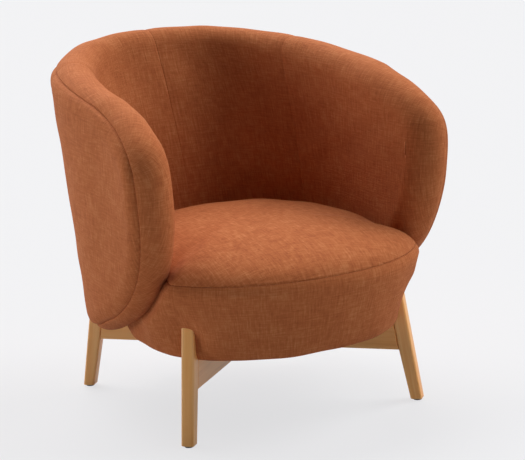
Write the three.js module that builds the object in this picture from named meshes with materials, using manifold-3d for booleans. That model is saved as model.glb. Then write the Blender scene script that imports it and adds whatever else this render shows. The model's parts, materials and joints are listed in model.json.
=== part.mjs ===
// An upholstered tub chair: a padded wall bent round a crowned seat, carried by four
// splayed oak legs and two crossed rails. Lengths are in millimetres and +Z is up.
// The floor is z = 0, the chair faces -Y, and left is the sitter's left hand, +X.
import * as THREE from 'three';
import { mergeVertices } from 'three/addons/utils/BufferGeometryUtils.js';
import Module from 'manifold-3d';

const wasm = await Module();
wasm.setup();

// Heights
const wallTopHeight = 740;
const waistHeight = 535.1;       // where the unrolled wall is longest
const wallFootHeight = 143;      // lowest line of the padded wall
const crownHeight = 407.2;       // top of the seat cushion
const girthHeight = 314.1;       // where the seat is widest
const undersideHeight = 170.1;   // flat underside of the seat

// The wall's middle surface in plan at the waist: a rounded back and straight arms ahead
// of it. The flares, leans and tapers are given for each slope span of height or length.
const tubCentreY = -94.2;
const waistHalfWidth = 331.9;
const backReach = 425;
const slopeSpan = 100;
const sideFlare = 8.2;
const sideFlareBend = 1.139;
const backLean = 30.2;
const backLeanBend = 1.106;
const armTaper = 4.31;
const armTaperLean = -2.325;
const planSidePower = 0.958;
const planBackPower = 0.981;

// The wall unrolled: its edge is a rounded outline, its padding a half-round rim
const bendRadius = 380.3;
const wallReach = 830.1;         // from the back's centre to an arm's front edge
const topSidePower = 1.799;
const topPower = 1.805;
const footSidePower = 3.604;
const footPower = 2.121;
const wallHalf = 34.2;           // half the padded wall's thickness

// The upholstery's layers
const coverThickness = 3;
const clearance = 0.3;           // between pieces that touch
const bentClearance = 0.8;       // between bent pieces that touch
const liningFoam = 27;           // foam between the inside cover and the frame
const rimWidth = 38;             // from the wall's edge to the outside panel's seam
const panelThickness = 6;
const panelCrown = 4;            // how far an outside panel swells at its middle
const panelCrownReach = 30;      // from the panel's seam to its full swell
const panelShoulderShare = 0.3;  // of that, where the panel is level with the rim
const sideSeamReach = 348;       // unrolled, from the back's centre to an inside seam
const outsideSeamReach = 348;

// The wall's frame
const archWidth = 50;
const postShares = [0.16, 0.62]; // of the wall's reach

// Seat
const seatGap = 2;               // between the seat and the wall's inside cover
const noseHalfWidth = 333.1;     // the seat in front of the arms, at its girth
const noseFlare = 30.1;
const noseReach = 329.4;
const noseLean = 26.7;
const noseSidePower = 0.934;
const noseFrontPower = 0.849;
const noseLap = 19;              // how far behind an arm's front edge it leaves the arm
const noseBlend = 64.6;          // over which it does
const crownPower = 2.341;
const bowlPower = 2.744;
const bowlRound = 18;            // plan width of the rounded lower edge
const seatSeamRise = -0.16;
const flapWidth = 34;            // cover turned under the seat
const boardThickness = 15;
const boardFootInset = 6;        // from the flat underside's edge
const boardSpread = 10;          // how much wider the board is above its chamfer
const boardChamferHeight = 10;
const frameRailHeight = 48;
const frameRailThickness = 26;
const frameRailInset = 3;        // from the board's edge
const frameCornerShare = 0.6;    // where the front and back rails meet the side rails
const dustCoverThickness = 1.5;
const webbingWidth = 50;
const webbingThickness = 1.6;
const webbingRise = 2.4;         // of its weave, up and down
const frontToBackWebs = 3;
const sideToSideWebs = 2;

// Base
const baseCentreY = -36.4;
const footHalfWidth = 267.3;     // to a foot's centre
const footHalfDepth = 254.5;
const footWidth = 24.6;          // in the diagonal plane, at the floor
const legWidth = 30;             // the same, from the rail up
const legThickness = 27.2;
const legHeight = 251.2;
const legSplay = 0.154;          // sideways travel for each unit of height
const legEdgeRound = 5;
const legHeadRound = 13;
const railUndersideHeight = 110.2;
const railThickness = 24.7;
const railEdgeRound = 2;
const dowelRadius = 4;
const dowelLength = 32;
const dowelChamfer = 1;
const dowelInset = 18;           // from the rail's upper and lower faces
const glideRadius = 9;
const glideThickness = 3;
const glidePinRadius = 2.2;
const glidePinLength = 14;

// Fasteners
const boltRadius = 4;
const boltHeadRadius = 8.5;
const boltHeadHeight = 4.5;
const boltSpacing = 118;         // from the crossing to a base bolt
const counterboreDepth = 10;
const nutBarrelRadius = 5.4;
const nutBarrelLength = 10;
const nutFlangeRadius = 10.5;
const nutFlangeThickness = 1.6;
const innerBoltReach = 152;      // unrolled, from the back's centre to a shell bolt
const boltPastSeam = 28;         // from an inside seam on to the outer shell bolt
const shellBoltDrop = 15;        // below the seat frame's top
const shellBoltBite = 18;        // into the wall's lower arch
const headRecess = 4;

// Steps of the faceted surfaces
const wallSteps = 32;
const rimSteps = 5;
const frontSteps = 12;
const crownSteps = 5;
const bowlSteps = 5;
const roundSides = 10;
const headSteps = 4;
const waveSteps = 4;
const probe = 0.5;               // for slopes taken over a short distance
const probeAngle = 0.001;
const weldReach = 0.002;         // corners nearer than this are one
const edgeSamples = 600;
const cutSpan = 3 * wallTopHeight;

const fabric = new THREE.MeshStandardMaterial({ color: 0x9c4a22, roughness: 0.92 });
const foam = new THREE.MeshStandardMaterial({ color: 0xe6d9b0, roughness: 0.95 });
const oak = new THREE.MeshStandardMaterial({ color: 0xcf9a5c, roughness: 0.5 });
const frameWood = new THREE.MeshStandardMaterial({ color: 0xd8bd8c, roughness: 0.7 });
const webbing = new THREE.MeshStandardMaterial({ color: 0x2e2c2a, roughness: 0.85 });
const lining = new THREE.MeshStandardMaterial({ color: 0x1d1c1c, roughness: 0.9 });
const steel = new THREE.MeshStandardMaterial({ color: 0xb8babd, roughness: 0.35, metalness: 0.9 });
const nylon = new THREE.MeshStandardMaterial({ color: 0x3a3733, roughness: 0.5 });

const signedPower = (value, power) => Math.sign(value) * Math.abs(value) ** power;
const mix = (a, b, share) => a + (b - a) * share;
const steps = (count) => Array.from({ length: count + 1 }, (unused, i) => i / count);
const smooth = (share) => {
  const held = Math.min(Math.max(share, 0), 1);
  return held * held * (3 - 2 * held);
};

// A closed surface gathered from four-cornered patches. Corners that coincide are one
// and a patch with two such corners is a triangle.
class Skin {
  constructor() {
    this.places = new Map();
    this.corners = [];
    this.faces = [];
  }

  corner(point) {
    const key = point.toArray().map((value) => Math.round(value / weldReach)).join();
    if (!this.places.has(key)) {
      this.places.set(key, this.corners.length);
      this.corners.push(point);
    }
    return this.places.get(key);
  }

  triangle(a, b, c) {
    if (a !== b && b !== c && c !== a) this.faces.push([a, b, c]);
  }

  // The diagonal is mirrored from left to right, as the chair is, and a flipped one lies
  // along its neighbour's where two layers face each other
  patch(a, b, c, d, flipped = false) {
    const [i, j, k, l] = [a, b, c, d].map((point) => this.corner(point));
    if ((a.x + b.x + c.x + d.x > 0) !== flipped) {
      this.triangle(i, j, k);
      this.triangle(i, k, l);
    } else {
      this.triangle(i, j, l);
      this.triangle(j, k, l);
    }
  }

  // A band of patches between two lines of as many points
  band(lower, upper, closed, flipped = false) {
    lower.forEach((point, i) => {
      const next = (i + 1) % lower.length;
      if (next || closed) this.patch(point, lower[next], upper[next], upper[i], flipped);
    });
  }

  // Flat ends on four-cornered rings
  ends(rings) {
    this.patch(...[...rings[0]].reverse());
    this.patch(...rings.at(-1));
  }

  // A flat lid on a ring of points
  lid(ring) {
    const centre = ring.reduce((sum, point) => sum.add(point), new THREE.Vector3());
    centre.divideScalar(ring.length);
    this.band(ring, ring.map(() => centre), true);
  }

  geometry() {
    const volume = this.faces.reduce((sum, face) => {
      const [a, b, c] = face.map((i) => this.corners[i]);
      return sum + a.dot(new THREE.Vector3().crossVectors(b, c));
    }, 0);
    const faces = volume < 0 ? this.faces.map(([a, b, c]) => [a, c, b]) : this.faces;
    const geometry = new THREE.BufferGeometry().setFromPoints(this.corners);
    geometry.setIndex(faces.flat());
    return geometry;
  }
}

// Joins and cuts
function solidOf(geometry) {
  const bare = new THREE.BufferGeometry();
  bare.setAttribute('position', geometry.getAttribute('position'));
  bare.setIndex(geometry.index);
  const merged = mergeVertices(bare, weldReach);
  return new wasm.Manifold(new wasm.Mesh({
    numProp: 3,
    vertProperties: new Float32Array(merged.getAttribute('position').array),
    triVerts: new Uint32Array(merged.index.array),
  }));
}

function geometryOf(solid) {
  const mesh = solid.getMesh();
  const geometry = new THREE.BufferGeometry();
  geometry.setAttribute('position', new THREE.BufferAttribute(mesh.vertProperties, 3));
  geometry.setIndex(new THREE.BufferAttribute(mesh.triVerts, 1));
  return geometry;
}

const cut = (geometry, ...tools) => geometryOf(
  tools.reduce((solid, tool) => solid.subtract(solidOf(tool)), solidOf(geometry)));
const keep = (geometry, tool) => geometryOf(solidOf(geometry).intersect(solidOf(tool)));

// A big block that starts at a point and lies along a level direction from it
function blockAhead(point, direction) {
  const block = new THREE.BoxGeometry(cutSpan, cutSpan, cutSpan);
  block.translate(cutSpan / 2, 0, 0);
  block.rotateZ(Math.atan2(direction.y, direction.x));
  return block.translate(point.x, point.y, point.z);
}

const centreOf = (z) => new THREE.Vector3(0, tubCentreY, z);
const leftSide = new THREE.Vector3(1, 0, 0);
const rightSide = new THREE.Vector3(-1, 0, 0);

// A turned piece: a profile of [radius, height] pairs spun about its axis
const turned = (profile, sides = roundSides) => new THREE.LatheGeometry(
  profile.map(([radius, height]) => new THREE.Vector2(radius, height)), sides)
  .rotateX(Math.PI / 2);

// Stands a turned or extruded piece along a direction, from a point
function aimed(geometry, start, direction) {
  const turn = new THREE.Quaternion().setFromUnitVectors(
    new THREE.Vector3(0, 0, 1), direction.clone().normalize());
  return geometry.applyQuaternion(turn).translate(start.x, start.y, start.z);
}

// The wall's middle surface at a turn from the back's centre, positive to the left. Past
// a quarter turn it runs straight ahead, drawn in a little towards the arm's front.
function wallMiddle(turn, z) {
  const lift = (z - waistHeight) / slopeSpan;
  const halfWidth = waistHalfWidth + sideFlare * lift + sideFlareBend * lift ** 2;
  const behind = backReach + backLean * lift + backLeanBend * lift ** 2;
  const ahead = Math.max(Math.abs(turn) - Math.PI / 2, 0) * bendRadius;
  const drawnIn = (armTaper + armTaperLean * lift) * (ahead / slopeSpan) ** 2;
  const side = ahead > 0 ? Math.sign(turn) : Math.sin(turn);
  const depth = ahead > 0 ? 0 : Math.cos(turn);
  return new THREE.Vector3(
    halfWidth * signedPower(side, planSidePower) - Math.sign(turn) * drawnIn,
    tubCentreY + behind * signedPower(depth, planBackPower) - ahead,
    z);
}

// The direction out of the wall, square to its middle surface
function wallOutward(along, z) {
  const across = wallMiddle((along + probe) / bendRadius, z)
    .sub(wallMiddle((along - probe) / bendRadius, z));
  const upward = wallMiddle(along / bendRadius, z + probe)
    .sub(wallMiddle(along / bendRadius, z - probe));
  return upward.cross(across).normalize();
}

// A point of the wall: along it unrolled, its height, and how far it lies outward
const wallPoint = (along, z, outward) => wallMiddle(along / bendRadius, z)
  .addScaledVector(wallOutward(along, z), outward);

// The unrolled wall's edge: lap 0 is the left arm's front and a quarter turn the top
function wallEdge(lap) {
  const over = Math.sin(lap) >= 0;
  const rise = over ? wallTopHeight - waistHeight : waistHeight - wallFootHeight;
  const sidePower = 2 / (over ? topSidePower : footSidePower);
  const edgePower = 2 / (over ? topPower : footPower);
  return new THREE.Vector2(
    wallReach * signedPower(Math.cos(lap), sidePower),
    waistHeight + rise * signedPower(Math.sin(lap), edgePower));
}

// The edge moved inwards in the unrolled wall. Where it would fold over itself at an arm's
// front it is mitred.
function insetEdge(lap, inset) {
  const way = wallEdge(lap + probeAngle).sub(wallEdge(lap - probeAngle)).normalize();
  const spot = wallEdge(lap).add(new THREE.Vector2(-way.y, way.x).multiplyScalar(inset));
  const reach = wallReach - inset;
  spot.x = Math.min(Math.max(spot.x, -reach), reach);
  const under = Math.sin(lap) < -probeAngle;
  spot.y = under ? Math.min(spot.y, waistHeight) : Math.max(spot.y, waistHeight);
  return spot;
}

// Laps of the edge from the left arm's front to the right one's, at even distances
function evenShares(count) {
  const trail = steps(edgeSamples).map((step) => {
    const share = Math.sin(step * Math.PI / 2);
    const edge = wallEdge(Math.acos(share ** (topSidePower / 2)));
    return { share, edge, length: 0 };
  });
  trail.forEach((spot, i) => {
    if (i) spot.length = trail[i - 1].length + spot.edge.distanceTo(trail[i - 1].edge);
  });
  const half = steps(count / 2).map((step) => {
    const length = step * trail.at(-1).length;
    return trail.find((spot) => spot.length >= length).share;
  }).reverse();
  return [...half, ...half.slice(0, -1).reverse().map((share) => -share)];
}

const wallShares = evenShares(wallSteps);
const lapOf = (share, sidePower) => Math.acos(signedPower(share, sidePower / 2));
const topLaps = wallShares.map((share) => lapOf(share, topSidePower));
const footLaps = wallShares.map((share) => -lapOf(share, footSidePower));
const roundLaps = [...topLaps, ...footLaps.slice(1, -1).reverse()];

const edgePoint = (lap, { inset, outward }) => {
  const { x, y } = insetEdge(lap, inset);
  return wallPoint(x, y, outward);
};

// Rows of points across the wall at a layer: one along the frame's arches on either side
// of a middle row, and where it asks for them one along each edge
function wallRowsAt({ inset, outward }, reach = archReach, columns = wallShares.keys()) {
  return [...columns].map((i) => {
    const line = [insetEdge(topLaps[i], reach), insetEdge(footLaps[i], reach)];
    line.splice(1, 0, line[0].clone().lerp(line[1], 0.5));
    if (inset < reach) line.unshift(insetEdge(topLaps[i], inset));
    if (inset < reach) line.push(insetEdge(footLaps[i], inset));
    return line.map((spot) => wallPoint(spot.x, spot.y, outward));
  }).reduce((rows, line) => line.map((point, i) => [...(rows[i] || []), point]), []);
}

// A padded or covering layer of the wall: bands round the edge between two faces
function wallBody(layers) {
  const skin = new Skin();
  const rings = layers.map((layer) => roundLaps.map((lap) => edgePoint(lap, layer)));
  rings.slice(1).forEach((ring, i) => {
    skin.band(rings[i], ring, true, layers[i + 1].outward < layers[i].outward);
  });
  const first = wallRowsAt(layers[0]);
  const last = wallRowsAt(layers.at(-1));
  first.slice(1).forEach((row, i) => skin.band(row, first[i], false));
  last.slice(1).forEach((row, i) => skin.band(last[i], row, false, true));
  return skin.geometry();
}

// The half-round rim, from the inside face over the edge to the outside face
const rimLayers = (radius) => steps(rimSteps).map((step) => {
  const swing = (1 - step) * Math.PI;
  return { inset: wallHalf - radius * Math.sin(swing), outward: radius * Math.cos(swing) };
});

const foamHalf = wallHalf - coverThickness - bentClearance;
const pocketFloor = liningFoam - foamHalf;
const panelSeam = rimWidth + clearance;
const pocketInset = rimWidth - coverThickness;
const archInset = pocketInset + bentClearance;
const archReach = archInset + archWidth;

const panelFull = panelSeam + panelCrownReach;
const wallEnvelope = (grow) => wallBody([
  ...rimLayers(wallHalf + grow),
  { inset: rimWidth, outward: wallHalf + grow },
  { inset: panelFull, outward: wallHalf + panelCrown + grow },
]);

const insideCover = wallBody([
  ...rimLayers(wallHalf),
  { inset: rimWidth, outward: wallHalf },
  { inset: rimWidth, outward: wallHalf - coverThickness },
  ...rimLayers(wallHalf - coverThickness).reverse(),
]);

const wallFoam = wallBody([
  ...rimLayers(foamHalf),
  { inset: pocketInset, outward: foamHalf },
  { inset: pocketInset, outward: pocketFloor },
]);

const panelBack = wallHalf - panelThickness;
const outsidePanel = wallBody([
  { inset: panelSeam, outward: panelBack },
  { inset: panelSeam, outward: wallHalf - panelCrown },
  { inset: mix(panelSeam, panelFull, panelShoulderShare), outward: wallHalf },
  { inset: panelFull, outward: wallHalf + panelCrown },
]);

// Everything on the arm's side of a seam, for the left arm or the right one
function armSide(reach, side, gap) {
  const seam = side.x * reach;
  const ahead = wallMiddle((seam + side.x * probe) / bendRadius, waistHeight)
    .sub(wallMiddle(seam / bendRadius, waistHeight)).normalize();
  const start = wallMiddle(seam / bendRadius, waistHeight).addScaledVector(ahead, gap / 2);
  return keep(blockAhead(start, ahead), blockAhead(centreOf(waistHeight), side));
}

const arm = (body, reach, side) => keep(body, armSide(reach, side, clearance));
const between = (body, reach) => cut(body,
  armSide(reach, leftSide, -clearance), armSide(reach, rightSide, -clearance));
const halfOf = (body, side) => keep(body, blockAhead(
  centreOf(waistHeight).setX(side.x * clearance / 2), side));

// A bar of the wall's frame along its edge, from one lap to another. Its facets are split
// as those of the foam and the panel beside it are.
const frameInner = pocketFloor + bentClearance;
const frameOuter = panelBack - bentClearance;
function frameArch(laps) {
  const skin = new Skin();
  const sections = laps.map((lap) => [
    { inset: archInset, outward: frameInner },
    { inset: archInset, outward: frameOuter },
    { inset: archReach, outward: frameOuter },
    { inset: archReach, outward: frameInner },
  ].map((corner) => edgePoint(lap, corner)));
  const under = laps[1] < 0;
  sections.slice(1).forEach((section, i) => section.forEach((corner, j) => {
    const next = (j + 1) % section.length;
    const flipped = (j === 1) !== under;
    skin.patch(sections[i][j], sections[i][next], section[next], corner, flipped);
  }));
  skin.ends(sections);
  return skin.geometry();
}

// A big block over a level, or under it where the way is -1
const blockOver = (z, way) => new THREE.BoxGeometry(cutSpan, cutSpan, cutSpan)
  .translate(0, 0, z + way * cutSpan / 2);
const topArch = keep(frameArch(topLaps), blockOver(waistHeight + clearance / 2, 1));
const footArch = keep(frameArch(footLaps), blockOver(waistHeight - clearance / 2, -1));

// An upright of the wall's frame, one step of the wall wide, between the two arches
function framePost(share) {
  const skin = new Skin();
  const first = wallShares.findIndex((spot) => spot <= share);
  const [inner, outer] = [frameInner, frameOuter].map((outward) => wallRowsAt(
    { inset: archReach + clearance, outward }, archReach + clearance, [first - 1, first]));
  const rings = inner.map((row, i) => [row[0], row[1], outer[i][1], outer[i][0]]);
  rings.slice(1).forEach(([e, f, g, h], i) => {
    const [a, b, c, d] = rings[i];
    skin.patch(a, b, f, e, true);
    skin.patch(b, c, g, f);
    skin.patch(c, d, h, g);
    skin.patch(d, a, e, h);
  });
  skin.ends(rings);
  return skin.geometry();
}

// The seat in plan. Behind and beside the sitter it follows the wall's inside face, and
// in front it leaves the arms for a squarer nose.
const armTurnAt = (z) => {
  const drop = Math.min(Math.max((waistHeight - z) / (waistHeight - wallFootHeight), 0), 1);
  return wallReach / bendRadius * (1 - drop ** footPower) ** (1 / footSidePower);
};

function seatPlan(turn, z, armZ = z) {
  const outward = wallOutward(turn * bendRadius, z);
  const level = Math.hypot(outward.x, outward.y);
  const beside = wallMiddle(turn, z)
    .addScaledVector(outward.setZ(0), -(wallHalf + seatGap) / level ** 2);
  if (Math.cos(turn) >= 0) return beside;
  const lift = (z - girthHeight) / slopeSpan;
  const nose = new THREE.Vector3(
    (noseHalfWidth + noseFlare * lift) * signedPower(Math.sin(turn), noseSidePower),
    tubCentreY - (noseReach + noseLean * lift) * Math.abs(Math.cos(turn)) ** noseFrontPower,
    z);
  const start = Math.max(armTurnAt(armZ) - noseLap / bendRadius, Math.PI / 2);
  return beside.lerp(nose, smooth((Math.abs(turn) - start) * bendRadius / noseBlend));
}

const undersideShare = 1 - bowlRound / waistHalfWidth;

// The seat's surface: rise is a quarter turn at the crown and minus that underneath
function seatSurface(turn, rise) {
  const over = rise > 0;
  const power = 2 / (over ? crownPower : bowlPower);
  const level = Math.abs(Math.sin(rise)) ** power;
  const spread = Math.abs(Math.cos(rise)) ** power;
  const z = over ? mix(girthHeight, crownHeight, level) : mix(girthHeight, undersideHeight, level);
  const plan = seatPlan(turn, Math.min(z, girthHeight), z);
  const share = over ? spread : mix(undersideShare, 1, spread);
  return centreOf(z).lerp(plan.setZ(z), share);
}

// The same surface moved inwards by a depth
function seatPoint(turn, rise, depth) {
  const point = seatSurface(turn, rise);
  if (!depth) return point;
  if (rise >= Math.PI / 2) return point.setZ(point.z - depth);
  const above = seatSurface(turn, Math.min(rise + probeAngle, Math.PI / 2));
  const below = seatSurface(turn, Math.max(rise - probeAngle, -Math.PI / 2));
  const across = seatSurface(turn + probeAngle, rise).sub(seatSurface(turn - probeAngle, rise));
  const inward = across.cross(above.sub(below)).normalize();
  return point.addScaledVector(inward, depth);
}

const sideTurns = wallShares.map((share) => share * wallReach / bendRadius);
const frontSpan = 2 * Math.PI - 2 * sideTurns[0];
const frontTurns = steps(frontSteps).slice(1, -1)
  .map((step) => sideTurns.at(-1) - step * frontSpan);
const seatTurns = [...sideTurns, ...frontTurns]
  .map((turn) => Math.atan2(Math.sin(turn), Math.cos(turn)));

const seatRing = (rise, depth) => seatTurns.map((turn) => seatPoint(turn, rise, depth));
const scaledRing = (ring, share) => ring.map((point) => centreOf(point.z).lerp(point, share));

// A body between rings. Its ends are closed, or joined to each other.
function ringBody(rings, looped = false) {
  const skin = new Skin();
  rings.slice(1).forEach((ring, i) => {
    skin.band(rings[i], ring, true, ring[0].z > rings[i][0].z);
  });
  if (looped) skin.band(rings.at(-1), rings[0], true);
  else [rings[0], rings.at(-1)].forEach((ring, i) => skin.lid(i ? ring : [...ring].reverse()));
  return skin.geometry();
}

const seamHalf = clearance / (crownHeight - girthHeight);
const crownRises = steps(crownSteps).map((step) => mix(Math.PI / 2, seatSeamRise + seamHalf, step));
const bowlRises = steps(bowlSteps).map((step) => mix(seatSeamRise - seamHalf, -Math.PI / 2, step));
const flapShare = 1 - flapWidth / waistHalfWidth;
const foamDepth = coverThickness + clearance;

const seatTopCover = ringBody([
  ...crownRises.map((rise) => seatRing(rise, 0)),
  ...crownRises.map((rise) => seatRing(rise, coverThickness)).reverse(),
]);

const seatBorderCover = ringBody([
  ...bowlRises.map((rise) => seatRing(rise, 0)),
  scaledRing(seatRing(-Math.PI / 2, 0), flapShare),
  scaledRing(seatRing(-Math.PI / 2, coverThickness), flapShare),
  ...bowlRises.map((rise) => seatRing(rise, coverThickness)).reverse(),
], true);

const seatEnvelope = (grow) => ringBody([...crownRises, ...bowlRises]
  .map((rise) => seatRing(rise, -grow)));

// Flat pieces under the seat take the plan of its underside, scaled about its centre
const shareOf = (width) => width / waistHalfWidth;
const boardFootShare = undersideShare - shareOf(boardFootInset);
const boardShare = boardFootShare + shareOf(boardSpread);
const boardFoot = undersideHeight + foamDepth;
const boardTop = boardFoot + boardThickness;
const frameFoot = boardTop + clearance;
const frameTop = frameFoot + frameRailHeight;

const planRing = (share, z) => seatTurns.map((turn) =>
  centreOf(z).lerp(seatPlan(turn, undersideHeight).setZ(z), share));

const boardRings = (spare) => [
  planRing(boardFootShare + shareOf(spare), boardFoot - spare),
  planRing(boardShare + shareOf(spare), boardFoot + boardChamferHeight),
  planRing(boardShare + shareOf(spare), boardTop + spare),
];

const frameShare = boardShare - shareOf(frameRailInset);
const frameInnerShare = frameShare - shareOf(frameRailThickness);
const webLevel = frameTop + clearance + webbingThickness / 2 + webbingRise;
const webTop = webLevel + webbingRise + webbingThickness / 2;

// The hollow in the seat foam that takes the board, the frame and the webbing
const seatHollow = ringBody([
  planRing(boardFootShare + shareOf(bentClearance), undersideHeight - cutSpan / 2),
  planRing(boardFootShare + shareOf(bentClearance), boardFoot),
  planRing(boardShare + shareOf(bentClearance), boardFoot + boardChamferHeight),
  planRing(boardShare + shareOf(bentClearance), webTop + clearance),
]);

const seatFoam = cut(ringBody([...crownRises, ...bowlRises]
  .map((rise) => seatRing(rise, foamDepth))), seatHollow);

const prism = (share, low, high) => ringBody([planRing(share, low), planRing(share, high)]);
const seatFrame = cut(prism(frameShare, frameFoot, frameTop),
  prism(frameInnerShare, frameFoot - cutSpan / 2, frameTop + cutSpan / 2));
const cornerX = frameCornerShare * waistHalfWidth;
const besideFrame = (side, gap) => blockAhead(
  centreOf(frameFoot).setX(side.x * (cornerX + gap / 2)), side);
const frontHalf = blockAhead(centreOf(frameFoot), new THREE.Vector3(0, -1, 0));
const endRails = cut(seatFrame, besideFrame(leftSide, -clearance), besideFrame(rightSide, -clearance));

// A strap of webbing: it weaves over and under the straps that cross it, and its ends
// lie on the frame
function strap(length, crossed, first) {
  const levels = steps(crossed - 1).map((unused, i) => (i + first) % 2 ? -1 : 1);
  const spots = [-1, ...levels, -1];
  const pitch = length / (crossed + 1);
  const path = spots.slice(1).flatMap((level, i) => steps(waveSteps).slice(i ? 1 : 0).map((step) =>
    new THREE.Vector2(pitch * (i + step) - length / 2,
      webbingRise * mix(spots[i], level, smooth(step)))));
  const offset = new THREE.Vector2(0, webbingThickness / 2);
  const outline = [...path.map((spot) => spot.clone().sub(offset)),
    ...path.map((spot) => spot.clone().add(offset)).reverse()];
  const band = new THREE.ExtrudeGeometry(new THREE.Shape(outline),
    { depth: webbingWidth, bevelEnabled: false });
  return band.translate(0, 0, -webbingWidth / 2).rotateX(Math.PI / 2);
}

// The two places where a ring passes a value of one coordinate
function crossings(ring, axis, value) {
  const other = axis === 'x' ? 'y' : 'x';
  return ring.flatMap((point, i) => {
    const next = ring[(i + 1) % ring.length];
    const share = (value - point[axis]) / (next[axis] - point[axis]);
    return share >= 0 && share < 1 ? [mix(point[other], next[other], share)] : [];
  }).sort((a, b) => a - b);
}

const webRing = planRing((frameShare + frameInnerShare) / 2, webLevel);
const [webFront, webBack] = crossings(webRing, 'x', 0);
const [, webSide] = crossings(webRing, 'y', tubCentreY);
const spread = (low, high, count) => steps(count + 1).slice(1, -1)
  .map((step) => mix(low, high, step));

// Base: each leg stands in a plane through the crossing of the rails
const baseCentre = (z) => new THREE.Vector3(0, baseCentreY, z);
const footRadius = Math.hypot(footHalfWidth, footHalfDepth);
const corners = [
  ['front_left', 1, -1], ['front_right', -1, -1], ['back_left', 1, 1], ['back_right', -1, 1],
].map(([name, x, y]) => ({
  name,
  way: new THREE.Vector3(x * footHalfWidth, y * footHalfDepth, 0).normalize(),
}));

const legOuterAt = (z) => footRadius + footWidth / 2 - legSplay * z;
const legInnerAt = (z) => legOuterAt(z) - legWidth;
const railTopHeight = undersideHeight - clearance;

// Stands a flat outline of [radius, height] in a leg's plane, with a thickness
function inPlane(shape, way, thickness, round) {
  const plate = new THREE.ExtrudeGeometry(shape, {
    depth: thickness - 2 * round,
    bevelThickness: round,
    bevelSize: round,
    bevelOffset: -round,
    bevelSegments: 2,
    curveSegments: headSteps,
  });
  plate.translate(0, 0, round - thickness / 2);
  const basis = new THREE.Matrix4().makeBasis(way, new THREE.Vector3(0, 0, 1),
    new THREE.Vector3().crossVectors(way, new THREE.Vector3(0, 0, 1)));
  return plate.applyMatrix4(basis).translate(0, baseCentreY, 0);
}

function legShape() {
  const foot = glideThickness + clearance;
  const head = legHeight - legHeadRound;
  const shape = new THREE.Shape();
  shape.moveTo(legOuterAt(foot) - footWidth, foot);
  shape.lineTo(legOuterAt(foot), foot);
  shape.lineTo(legOuterAt(head), head);
  shape.quadraticCurveTo(legOuterAt(legHeight), legHeight,
    legOuterAt(legHeight) - legHeadRound, legHeight);
  shape.quadraticCurveTo(legInnerAt(legHeight), legHeight, legInnerAt(head), head);
  shape.lineTo(legInnerAt(railUndersideHeight), railUndersideHeight);
  return shape;
}

function railShape() {
  const ends = [railUndersideHeight, railTopHeight].map((z) => legInnerAt(z) - clearance);
  return new THREE.Shape([
    new THREE.Vector2(-ends[0], railUndersideHeight),
    new THREE.Vector2(ends[0], railUndersideHeight),
    new THREE.Vector2(ends[1], railTopHeight),
    new THREE.Vector2(-ends[1], railTopHeight),
  ]);
}

// Where the rails cross, each is cut away by half its height
const railMiddle = (railUndersideHeight + railTopHeight) / 2;
function lapNotch(way, low, high) {
  const notch = new THREE.BoxGeometry(footRadius, railThickness + 2 * clearance, high - low);
  notch.rotateZ(Math.atan2(way.y, way.x));
  return notch.translate(0, baseCentreY, (low + high) / 2);
}

// Dowels, two at each leg, half in the leg and half in the rail
const dowelHeights = [railUndersideHeight + dowelInset, railTopHeight - dowelInset];
const dowelShape = (spare) => turned([
  [0, -dowelLength / 2 - spare],
  [dowelRadius - dowelChamfer + spare, -dowelLength / 2 - spare],
  [dowelRadius + spare, dowelChamfer - dowelLength / 2],
  [dowelRadius + spare, dowelLength / 2 - dowelChamfer],
  [dowelRadius - dowelChamfer + spare, dowelLength / 2 + spare],
  [0, dowelLength / 2 + spare],
]);
const dowelAt = (way, z, spare) => aimed(dowelShape(spare),
  baseCentre(z).addScaledVector(way, legInnerAt(z) - clearance / 2), way);

// Glides under the feet, each with a pin driven into the leg
const glideShape = (spare) => turned([
  [0, 0],
  [glideRadius, 0],
  [glideRadius, glideThickness],
  [glidePinRadius + spare, glideThickness],
  [glidePinRadius + spare, glideThickness + glidePinLength + spare],
  [0, glideThickness + glidePinLength + spare],
]);
const glideAt = (way, spare) => glideShape(spare).translate(
  way.x * footRadius, baseCentreY + way.y * footRadius, 0);

// Bolts up through the rails into tee nuts on the board
const boltFoot = railUndersideHeight + counterboreDepth - boltHeadHeight;
const boltTip = boltTop(boardTop);
function boltTop(z) {
  return z + nutFlangeThickness + boltRadius;
}
const boltProfile = (length, spare, access) => turned([
  [0, -access],
  [boltHeadRadius + spare, -access],
  [boltHeadRadius + spare, boltHeadHeight + spare],
  [boltRadius + spare, boltHeadHeight + spare],
  [boltRadius + spare, length + spare],
  [0, length + spare],
]);
const baseBoltAt = (way, spare, access) => boltProfile(boltTip - boltFoot, spare, access)
  .translate(way.x * boltSpacing, baseCentreY + way.y * boltSpacing, boltFoot);
const teeNut = (spare) => turned([
  [boltRadius + clearance, -nutBarrelLength],
  [nutBarrelRadius + spare, -nutBarrelLength],
  [nutBarrelRadius + spare, clearance],
  [nutFlangeRadius, clearance],
  [nutFlangeRadius, nutFlangeThickness],
  [boltRadius + clearance, nutFlangeThickness],
  [boltRadius + clearance, -nutBarrelLength],
]);
const teeNutAt = (way) => teeNut(0).translate(
  way.x * boltSpacing, baseCentreY + way.y * boltSpacing, boardTop);
const barrelHoleAt = (way) => turned([
  [0, -cutSpan],
  [nutBarrelRadius + clearance, -cutSpan],
  [nutBarrelRadius + clearance, cutSpan],
  [0, cutSpan],
]).translate(way.x * boltSpacing, baseCentreY + way.y * boltSpacing, boardTop);

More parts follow.
